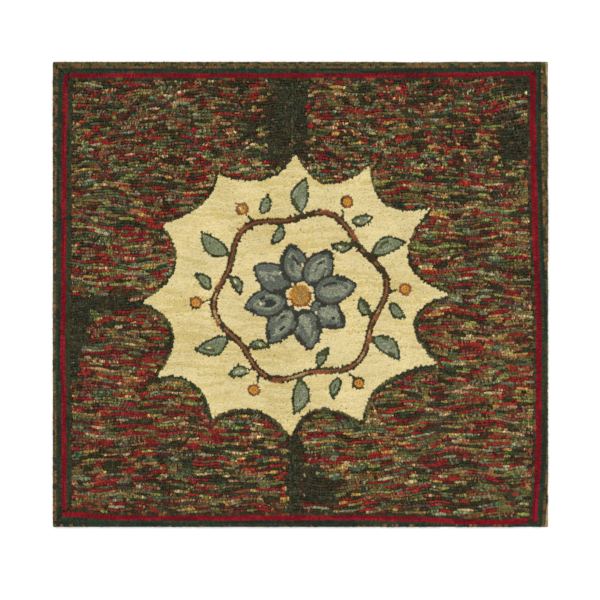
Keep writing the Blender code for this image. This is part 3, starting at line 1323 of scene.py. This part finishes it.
def noise(tree, place, scale, detail=2.0, roughness=0.5):
    node = add_node(tree, "ShaderNodeTexNoise")
    feed(tree, node, {"Vector": place, "Scale": scale, "Detail": detail, "Roughness": roughness})
    return node.outputs["Fac"]


def spread(tree, value, low, high, new_low, new_high):
    node = add_node(tree, "ShaderNodeMapRange")
    ends = {"From Min": low, "From Max": high, "To Min": new_low, "To Max": new_high}
    feed(tree, node, {"Value": value, **ends})
    return node.outputs["Result"]


def new_material(name):
    """A material, its tree, its shader, and the place on the piece."""
    material = bpy.data.materials.new(name)
    material.use_nodes = True
    tree = material.node_tree
    place = add_node(tree, "ShaderNodeTexCoord").outputs["Object"]
    return material, tree, tree.nodes["Principled BSDF"], place


def set_look(tree, shader, colour, relief, depth, strength, roughness, specular):
    """Give the shader its colour, a relief of this depth, and its shine."""
    bump = add_node(tree, "ShaderNodeBump")
    feed(tree, bump, {"Height": relief, "Distance": depth, "Strength": strength})
    look = {"Base Color": colour, "Normal": bump.outputs["Normal"]}
    feed(tree, shader, {**look, "Roughness": roughness, "Specular IOR Level": specular})


print("material helpers are ready")

# %% [markdown]
# Wool cloth has fuzz and flecks, and down between the loops its colour is darkened: painted shade where
# the loops shade each other, with some dust there too. One shader group makes that from the strip's own
# colour. It gives only a colour, a height and a roughness, so each wool can mix them in its own amounts.

# %% What all the wools share
# How fine the fuzz, the grain and the patches of age are
FUZZ, GRAIN_PATCHES, AGEING = 1400.0, 500.0, 14.0
FLECK_COLOUR = (0.24, 0.19, 0.11)


def make_wool_group():
    tree = bpy.data.node_groups.new("wool strip", "ShaderNodeTree")
    add_sockets(tree, "INPUT", Strip_Colour="Color", Up_The_Loop="Float")
    add_sockets(tree, "INPUT", Flecks="Float", Shade_Below="Float", Grain="Float")
    add_sockets(tree, "OUTPUT", Colour="Color", Height="Float", Roughness="Float")
    given, result = add_node(tree, "NodeGroupInput"), add_node(tree, "NodeGroupOutput")
    place = add_node(tree, "ShaderNodeTexCoord").outputs["Object"]
    fuzz = noise(tree, place, FUZZ, 3.0, 0.65)
    patches = spread(tree, noise(tree, place, GRAIN_PATCHES, 1.0), 0.3, 0.7, -1.0, 1.0)
    ageing = noise(tree, place, AGEING, 3.0)
    lighter = spread(tree, fuzz, 0.35, 0.75, 0.0, 1.0)
    amount = calculate(tree, "MULTIPLY", lighter, given.outputs["Flecks"])
    fleck = mix_colours(tree, "SCREEN", amount, given.outputs["Strip Colour"], FLECK_COLOUR)
    grain = calculate(tree, "MULTIPLY_ADD", patches, given.outputs["Grain"], 1.0)
    age_shade = spread(tree, ageing, 0.3, 0.7, 0.92, 1.06)
    # Darker towards the loop's foot: painted shade between the loops, with some dust.
    low_shade = spread(tree, given.outputs["Up The Loop"], 0.35, 1.0, given.outputs["Shade Below"], 1.0)
    shade = calculate(tree, "MULTIPLY", calculate(tree, "MULTIPLY", grain, age_shade), low_shade)
    grey = add_node(tree, "ShaderNodeCombineColor")
    feed(tree, grey, {"Red": shade, "Green": shade, "Blue": shade})
    colour = mix_colours(tree, "MULTIPLY", 1.0, fleck, grey.outputs[0])
    roughness = spread(tree, fuzz, 0.3, 0.7, 0.86, 1.0)
    feed(tree, result, {"Colour": colour, "Height": fuzz, "Roughness": roughness})
    return tree


wool_strip = make_wool_group()
print(len(wool_strip.nodes), "nodes in the wool group")

# %% [markdown]
# Four wools share that group. The leftovers are the most uneven, as they come from many old clothes,
# and the cream is almost plain. Old wool doesn't shine, so its highlight is weak and its sheen soft.

# %% The four wools


def make_wool(name, flecks, shade_below, grain):
    """A wool whose colour comes from its loops."""
    material, tree, shader, _ = new_material(name)
    strip = add_node(tree, "ShaderNodeGroup", node_tree=wool_strip)
    colour = add_node(tree, "ShaderNodeAttribute", attribute_name="wool_colour")
    up = add_node(tree, "ShaderNodeAttribute", attribute_name="up_the_loop")
    loop = {"Strip Colour": colour.outputs["Color"], "Up The Loop": up.outputs["Fac"]}
    feed(tree, strip, {**loop, "Flecks": flecks, "Shade Below": shade_below, "Grain": grain})
    made, relief = strip.outputs, strip.outputs["Height"]
    set_look(tree, shader, made["Colour"], relief, 0.0004, 0.6, made["Roughness"], 0.08)
    feed(tree, shader, {"Sheen Weight": 0.04, "Sheen Roughness": 0.5})
    return material


PILE_WOOL = {
    "border": make_wool("border wool", flecks=0.06, shade_below=0.62, grain=0.26),
    "wreath": make_wool("wreath wool", flecks=0.10, shade_below=0.66, grain=0.24),
    "cream": make_wool("cream wool", flecks=0.03, shade_below=0.95, grain=0.10),
    "field": make_wool("leftover strips", flecks=0.10, shade_below=0.38, grain=0.56),
}
print("wools:", [material.name for material in PILE_WOOL.values()])

# %% [markdown]
# Each strip varies from loop to loop, because hand-dyed wool is never even, and each loop is pulled up
# to its own height. So every place carries its own colour and its own length, width and height.
# The cream is hooked low and close, so its loops are wider and show less of their sides.

# %% Size and colour of each loop
# How long and how wide a loop is, measured in loops and rows
LOOP_FILL = {"border": (1.30, 1.26), "wreath": (1.30, 1.26), "cream": (2.00, 1.65), "field": (1.30, 1.12)}
CREAM_LOW_RELIEF = 0.0016
HEIGHT_SPREAD = 0.00022
SIZE_SPREAD = 0.06
TINT_SHARE = 0.24
# How deep a loop's foot sits in the cloth, and how high the loops stand at the rim against the others
FOOT_SINK = 0.0004
RIM_HEIGHT = 0.80


def loop_colours(names, regions):
    """The linear colours of the loops, each a little lighter or darker than its wool."""
    colours = np.array([WOOL_LIGHT[name] for name in names])
    spreads = np.array([LOOP_SHADE[region] for region in regions])
    shade = np.exp(rng.normal(0.0, 1.0, (len(names), 1)) * spreads[:, None])
    tint = np.exp(rng.normal(0.0, TINT_SHARE, (len(names), 3)) * spreads[:, None])
    return np.clip(colours * shade * tint, 0.0, 1.0)


def loop_places(name, chosen):
    """A mesh of bare points that carry what each loop needs."""
    x, y = all_places[chosen, 0], all_places[chosen, 1]
    base = cloth_top(x, y) - FOOT_SINK
    pulled = LOOP_HEIGHT + swell(x, y) + all_lifts[chosen] + rng.normal(0, HEIGHT_SPREAD, len(x))
    pulled *= RIM_HEIGHT + (1.0 - RIM_HEIGHT) * ease(inset_of(x, y) / ROUNDED_RIM)
    smooth = np.where(all_regions[chosen] == "cream", CREAM_LOW_RELIEF, 0.0)
    base, pulled = base + smooth, pulled - smooth
    size = np.exp(rng.normal(0.0, SIZE_SPREAD, (len(x), 2)))
    mesh = bpy.data.meshes.new(name)
    mesh.vertices.add(len(x))
    mesh.vertices.foreach_set("co", np.column_stack([x, y, base]).ravel())
    fill = np.array([LOOP_FILL[region] for region in all_regions[chosen]])
    length = LOOP * fill[:, 0] * size[:, 0]
    width = ROW * fill[:, 1] * size[:, 1] * all_widths[chosen]
    sizes = np.column_stack([length, width, pulled])
    mesh.attributes.new("row_turn", "FLOAT", "POINT").data.foreach_set("value", all_turns[chosen])
    mesh.attributes.new("loop_size", "FLOAT_VECTOR", "POINT").data.foreach_set("vector", sizes.ravel())
    full = np.column_stack([all_colours[chosen], np.ones(len(x))])
    mesh.attributes.new("wool_colour", "FLOAT_COLOR", "POINT").data.foreach_set("color", full.ravel())
    return mesh


all_places = np.array(cloth.place)
all_turns = np.array(cloth.turn)
all_regions = np.array(cloth.region)
all_widths, all_lifts = np.array(cloth.width), np.array(cloth.lift)
all_colours = loop_colours(cloth.colour, cloth.region)
print(f"{len(all_places)} loops have a colour and a size")

# %% [markdown]
# The pile is hooked region by region, so that no piece grows too large, and the ground is cut in
# quarters. For each piece the node tree runs once, its result becomes a plain mesh, and the bare points
# are taken away. The piece rides on the rug's one body and keeps a flat map, as seen from above.

# %% Hooking the pile
TILT = math.radians(9)


def planar_map(mesh):
    """A flat map of the mesh seen from above."""
    corners = np.empty(len(mesh.loops), int)
    mesh.loops.foreach_get("vertex_index", corners)
    places = np.empty(len(mesh.vertices) * 3)
    mesh.vertices.foreach_get("co", places)
    flat = places.reshape(-1, 3)[:, :2]
    low, size = flat.min(0), np.ptp(flat, axis=0).max()
    layer = mesh.uv_layers.new(name="OFBake")
    layer.uv.foreach_set("vector", ((flat[corners] - low) / size).ravel())


def triangles(mesh):
    return sum(len(face.vertices) - 2 for face in mesh.polygons)


def with_modifiers(piece):
    """A plain mesh of the piece as its modifiers leave it."""
    bpy.context.view_layer.update()
    evaluated = piece.evaluated_get(bpy.context.evaluated_depsgraph_get())
    return bpy.data.meshes.new_from_object(evaluated)


def hook_pile(name, chosen, material, seed):
    """One piece of pile from the chosen loops."""
    places = loop_places(name, chosen)
    guide = add_object(name + " places", places)
    nodes = guide.modifiers.new("hooking", "NODES")
    nodes.node_group = hooking
    inputs = {"Loop": one_loop, "Wool": material, "Tilt": TILT, "Seed": seed}
    for socket in hooking.interface.items_tree:
        if socket.name in inputs and socket.in_out == "INPUT":
            nodes[socket.identifier] = inputs[socket.name]
    mesh = with_modifiers(guide)
    mesh.name = name
    bpy.data.objects.remove(guide)
    for attribute in ("row_turn", "loop_size"):
        if attribute in mesh.attributes:
            mesh.attributes.remove(mesh.attributes[attribute])
    planar_map(mesh)
    piece = add_object(name, mesh)
    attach(piece, BODY)
    print(f"{name}: {chosen.sum()} loops, {triangles(mesh)} triangles")
    return piece


is_left, is_low = all_places[:, 0] < 0, all_places[:, 1] < 0
PILE_PARTS = {
    "pile_border": ("border", all_regions == "border"),
    "pile_wreath": ("wreath", all_regions == "wreath"),
    "pile_cream": ("cream", all_regions == "cream"),
    "pile_ground_upper_left": ("field", (all_regions == "field") & is_left & ~is_low),
    "pile_ground_upper_right": ("field", (all_regions == "field") & ~is_left & ~is_low),
    "pile_ground_lower_left": ("field", (all_regions == "field") & is_left & is_low),
    "pile_ground_lower_right": ("field", (all_regions == "field") & ~is_left & is_low),
}
pile = [
    hook_pile(name, chosen, PILE_WOOL[wool], seed)
    for seed, (name, (wool, chosen)) in enumerate(PILE_PARTS.items())
]
bpy.data.objects.remove(one_loop)

# %% [markdown]
# Under the pile lies the foundation, a coarse cloth of jute. Each strip runs along its underside between
# its loops, as a flat stitch of the same colour, so jute shows only as thin lines between the rows.
# Stitches as solid pieces would double the work for a side that lies on the floor. So the cloth is a
# fine grid, and each of its faces takes the colour of the loop above it.

# %% Foundation cloth and the stitches on its back
STITCH = 0.007
RIM_INSET = 0.0027
CLOTH_UNDER = 0.0003
CLOTH_THICKNESS = 0.0019
BACK_ROWS = 2 * round(HALF_Y / ROW)
BACK_ROW = 2 * (HALF_Y - RIM_INSET) / BACK_ROWS


def nearest_colours(points):
    """The colour of the loop nearest to each point."""
    tree = KDTree(len(all_places))
    for index, (x, y) in enumerate(all_places):
        tree.insert((x, y, 0.0), index)
    tree.balance()
    found = [tree.find((x, y, 0.0))[1] for x, y in points]
    return all_colours[found]


def make_foundation():
    columns = round(2 * HALF_X / STITCH)
    shape = bmesh.new()
    bmesh.ops.create_grid(shape, x_segments=columns, y_segments=BACK_ROWS, size=0.5)
    for corner in shape.verts:
        x = corner.co.x * 2 * (HALF_X - RIM_INSET)
        y = corner.co.y * 2 * (HALF_Y - RIM_INSET)
        if x > HALF_X - RIM_INSET - 0.001:
            x -= float(tape_show("right", y, TAPE_SHOW_AT_RIGHT_CORNERS, 0.0)) - TAPE_SHOW
        if y > HALF_Y - RIM_INSET - 0.001:
            y -= float(tape_show("top", x)) - TAPE_SHOW
        corner.co = (x, y, float(cloth_top(x, y)) - FOUNDATION_TOP + CLOTH_UNDER)
    mesh = mesh_of(shape, "foundation_cloth")
    centres = np.empty(len(mesh.polygons) * 3)
    mesh.polygons.foreach_get("center", centres)
    colours = nearest_colours(centres.reshape(-1, 3)[:, :2])
    full = np.column_stack([colours, np.ones(len(colours))])
    mesh.attributes.new("wool_colour", "FLOAT_COLOR", "FACE").data.foreach_set("color", full.ravel())
    return mesh


foundation_mesh = make_foundation()
foundation = add_object("foundation_cloth", foundation_mesh)
print(len(foundation_mesh.polygons), "stitches on the back")

# %% [markdown]
# The cloth gets its thickness from Solidify, which can give the underside and the rim materials of
# their own: the strips under the pile on top, the back stitches below, and bare jute at the cut edge.

# %% The foundation's materials
JUTE = tuple(linear((196, 170, 122)))
# Threads in a metre of the cloth
WEAVE_COUNT = 480.0


def bands(tree, place, direction, spacing):
    """Lines across a direction, a spacing apart. They are dark at their middle."""
    wave = add_node(tree, "ShaderNodeTexWave", wave_type="BANDS", bands_direction=direction)
    scale = math.tau / 20 / spacing
    feed(tree, wave, {"Vector": place, "Scale": scale, "Distortion": 1.0, "Detail Scale": 3.0})
    return wave.outputs["Fac"]


def make_jute():
    material, tree, shader, place = new_material("jute cloth")
    threads = [bands(tree, place, axis, 1.0 / WEAVE_COUNT) for axis in ("X", "Y")]
    crossing = calculate(tree, "MAXIMUM", *threads)
    slubs = spread(tree, noise(tree, place, 90.0, 3.0), 0.3, 0.7, 0.0, 1.0)
    thread = mix_colours(tree, "MIX", slubs, JUTE, tuple(0.7 * part for part in JUTE))
    shaded = mix_colours(tree, "MULTIPLY", 0.5, thread, crossing)
    set_look(tree, shader, shaded, crossing, 0.0005, 1.0, 0.95, 0.1)
    return material


def make_back_stitches():
    """The strips on the underside, with lines of jute between their rows."""
    material = make_wool("back stitches", flecks=0.20, shade_below=0.85, grain=0.20)
    tree = material.node_tree
    shader = tree.nodes["Principled BSDF"]
    strip_colour = shader.inputs["Base Color"].links[0].from_socket
    place = add_node(tree, "ShaderNodeTexCoord").outputs["Object"]
    between = spread(tree, bands(tree, place, "Y", BACK_ROW), 0.02, 0.16, 1.0, 0.0)
    feed(tree, shader, {"Base Color": mix_colours(tree, "MIX", between, strip_colour, JUTE)})
    return material


def thicken(piece, thickness, offset, **settings):
    solidify = piece.modifiers.new("thickness", "SOLIDIFY")
    for name, value in {"thickness": thickness, "offset": offset, **settings}.items():
        setattr(solidify, name, value)
    solid = with_modifiers(piece)
    piece.modifiers.clear()
    piece.data = solid


# The cloth has no up_the_loop, so Shade Below darkens these strips all over: painted shade, as they show
# only deep between the loops.
strips_below = make_wool("strips under the pile", flecks=0.20, shade_below=0.70, grain=0.14)
# The top of the cloth first, then its underside, then its rim
for cloth_side in (strips_below, make_back_stitches(), make_jute()):
    foundation_mesh.materials.append(cloth_side)
thicken(foundation, CLOTH_THICKNESS, 1.0, material_offset=1, material_offset_rim=2)
print(f"foundation: {triangles(foundation.data)} triangles")

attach(foundation, BODY)
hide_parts(SHEET_NODE)

# %% [markdown]
# The binding is cotton twill tape. Its solids already have the right form, with the lip round the rim
# and the wide part underneath, so they stay and only get a cloth's surface. The lip has dark spots and is
# darker on three sides than on the right, and the part underneath is plain and pale.

# %% Twill tape
# The lip's colour between its spots and in them. It is lighter on the right side.
TAPE_COLOURS = {
    "light_lip": ((204, 182, 136), (164, 142, 98)),
    "dark_lip": ((112, 94, 60), (58, 48, 30)),
}
TAPE_UNDERNEATH = tuple(linear((198, 177, 134)))
# How fine the ribs and the dark spots are, and between which heights the tape turns up into its lip
TWILL_RIBS, LIP_SPOTS = 320.0, 110.0
LIP_FOOT, LIP_START = 0.0008, 0.0016


def make_twill(state):
    between_spots, in_spots = (tuple(linear(colour)) for colour in TAPE_COLOURS[state])
    material, tree, shader, place = new_material(state + " twill tape")
    twill = add_node(tree, "ShaderNodeTexWave", wave_type="BANDS", bands_direction="DIAGONAL")
    feed(tree, twill, {"Vector": place, "Scale": TWILL_RIBS, "Distortion": 0.6})
    # Dark spots mottle the lip.
    spotting = spread(tree, noise(tree, place, LIP_SPOTS, 3.0, 0.6), 0.40, 0.58, 0.0, 1.0)
    lip = mix_colours(tree, "MIX", spotting, between_spots, in_spots)
    parts = add_node(tree, "ShaderNodeSeparateXYZ")
    tree.links.new(place, parts.inputs[0])
    on_lip = spread(tree, parts.outputs["Z"], LIP_FOOT, LIP_START, 0.0, 1.0)
    cotton = mix_colours(tree, "MIX", on_lip, TAPE_UNDERNEATH, lip)
    ribbed = mix_colours(tree, "MULTIPLY", 0.35, cotton, twill.outputs["Color"])
    set_look(tree, shader, ribbed, twill.outputs["Fac"], 0.0003, 1.0, 0.9, 0.15)
    return material


twill_tapes = {state: make_twill(state) for state in TAPE_COLOURS}
tapes = [bpy.data.objects[node] for node in TAPE_NODES]
for tape in tapes:
    tape.data.materials.clear()
    tape.data.materials.append(twill_tapes["light_lip" if tape.name == "binding_right" else "dark_lip"])
print("tapes dressed:", [tape.name for tape in tapes])

# %% [markdown]
# At each corner the tape is folded under itself, and a small tuck of it closes the mitre. It rises from
# the floor to the height of the lip on both sides, and it is longer where the pile stands back.

# %% Tucks at the corners
TUCK_STEPS = 5
TUCK_OUT = 0.0005
TUCK_REACH = {"left": 0.0042, "right": 0.0072}
TUCK_LOW, TUCK_HIGH = 0.0011, 0.0035
TUCK_RISE = 0.0030
TUCK_THICKNESS = 0.0008


def make_tucks():
    shape = bmesh.new()
    for across, up in ((-1, -1), (1, -1), (1, 1), (-1, 1)):
        side = "right" if across > 0 else "left"
        grid = bmesh.ops.create_grid(shape, x_segments=TUCK_STEPS, y_segments=TUCK_STEPS, size=0.5)
        for corner in grid["verts"]:
            inset_x = TUCK_OUT + (corner.co.x + 0.5) * TUCK_REACH[side]
            inset_y = TUCK_OUT + (corner.co.y + 0.5) * TUCK_REACH["left"]
            rise = float(ease(min(inset_x, inset_y) / TUCK_RISE))
            height = TUCK_LOW + (TUCK_HIGH - TUCK_LOW) * rise
            corner.co = (across * (HALF_X - inset_x), up * (HALF_Y - inset_y), height)
        for face in {face for corner in grid["verts"] for face in corner.link_faces}:
            face.material_index = int(side == "right")
    bmesh.ops.recalc_face_normals(shape, faces=list(shape.faces))
    for face in shape.faces:
        face.smooth = True
        if face.normal.z < 0:
            face.normal_flip()
    made = add_object("corner_tucks", mesh_of(shape, "corner_tucks"))
    for state in ("dark_lip", "light_lip"):
        made.data.materials.append(twill_tapes[state])
    thicken(made, TUCK_THICKNESS, -1.0)
    return made


tucks = make_tucks()
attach(tucks, BODY)
print(len(tucks.data.polygons), "faces in the tucks")
